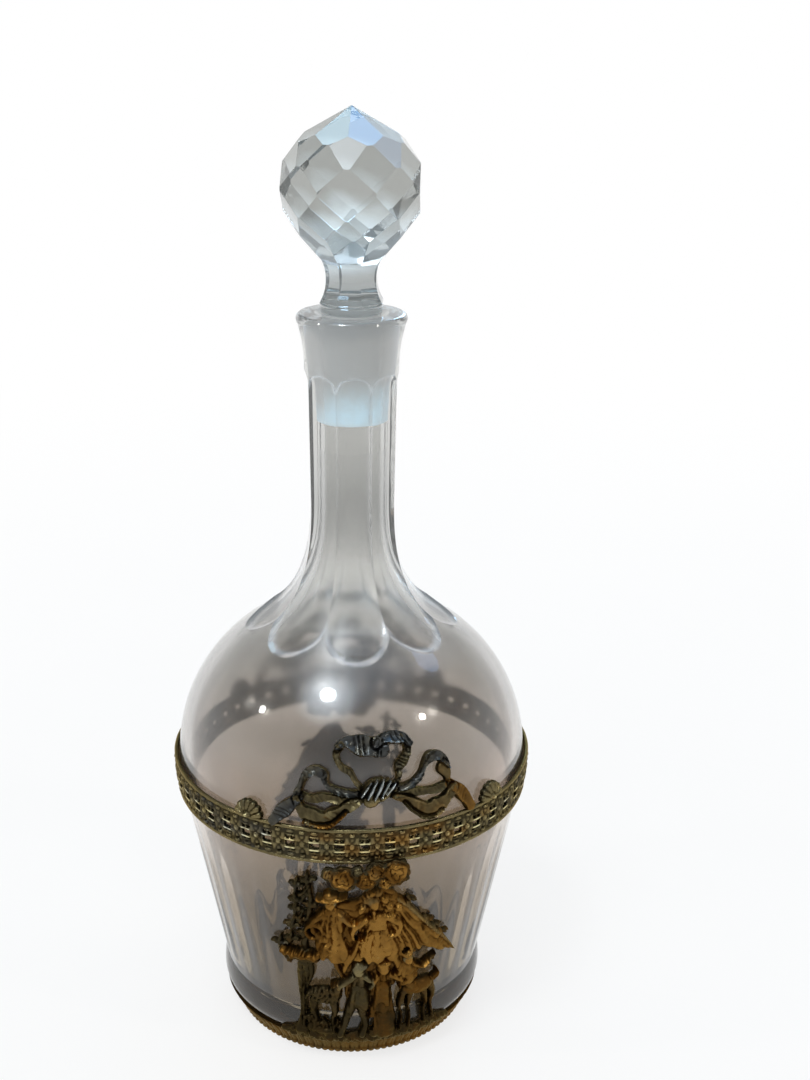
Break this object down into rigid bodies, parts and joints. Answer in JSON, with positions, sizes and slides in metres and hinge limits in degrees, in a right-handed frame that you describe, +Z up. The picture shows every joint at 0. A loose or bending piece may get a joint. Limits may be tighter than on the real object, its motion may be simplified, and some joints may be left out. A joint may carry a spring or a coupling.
{
  "type": "liquor decanter",
  "caption": "Clear cut glass liquor decanter with a faceted ball stopper, in a gilt openwork belt, bows and garden figures, on a beaded foot band.",
  "frame": {"origin": "middle of the foot band at the surface that the decanter stands on", "axes": "+Z up along the axis of the bottle, -Y toward the front of the mount, +X to the right as seen from the front"},
  "size_m": [0.0792, 0.0846, 0.2014],
  "materials": {
    "clear_glass": "polished, clear with a faint grey tint",
    "stopper_glass": "polished facets with a ground, frosted plug",
    "gilt_brass": "aged gilt brass, amber and brown in the hollows",
    "dark_brass": "dark pewter-like patina with worn bright edges"
  },
  "bodies": {
    "decanter": {"bottle": "clear_glass", "base_band": "gilt_brass", "base_bead_wire": "gilt_brass", "belt_band": "gilt_brass", "belt_lower_wire": "gilt_brass", "belt_upper_wire": "gilt_brass", "palmette_front_left": "dark_brass", "palmette_front_right": "dark_brass", "palmette_back_right": "dark_brass", "palmette_back_left": "dark_brass", "bow_front": "dark_brass", "flower_link_front": "gilt_brass", "pastoral_group_front": "gilt_brass", "bow_back": "dark_brass", "flower_link_back": "gilt_brass", "pastoral_group_back": "gilt_brass"},
    "stopper": {"stopper": "stopper_glass"}
  },
  "joints": [
    {"name": "stopper_lift", "type": "slide", "parent": "decanter", "child": "stopper", "axis": [0, 0, 1], "range_m": [0, 0.045]}
  ]
}
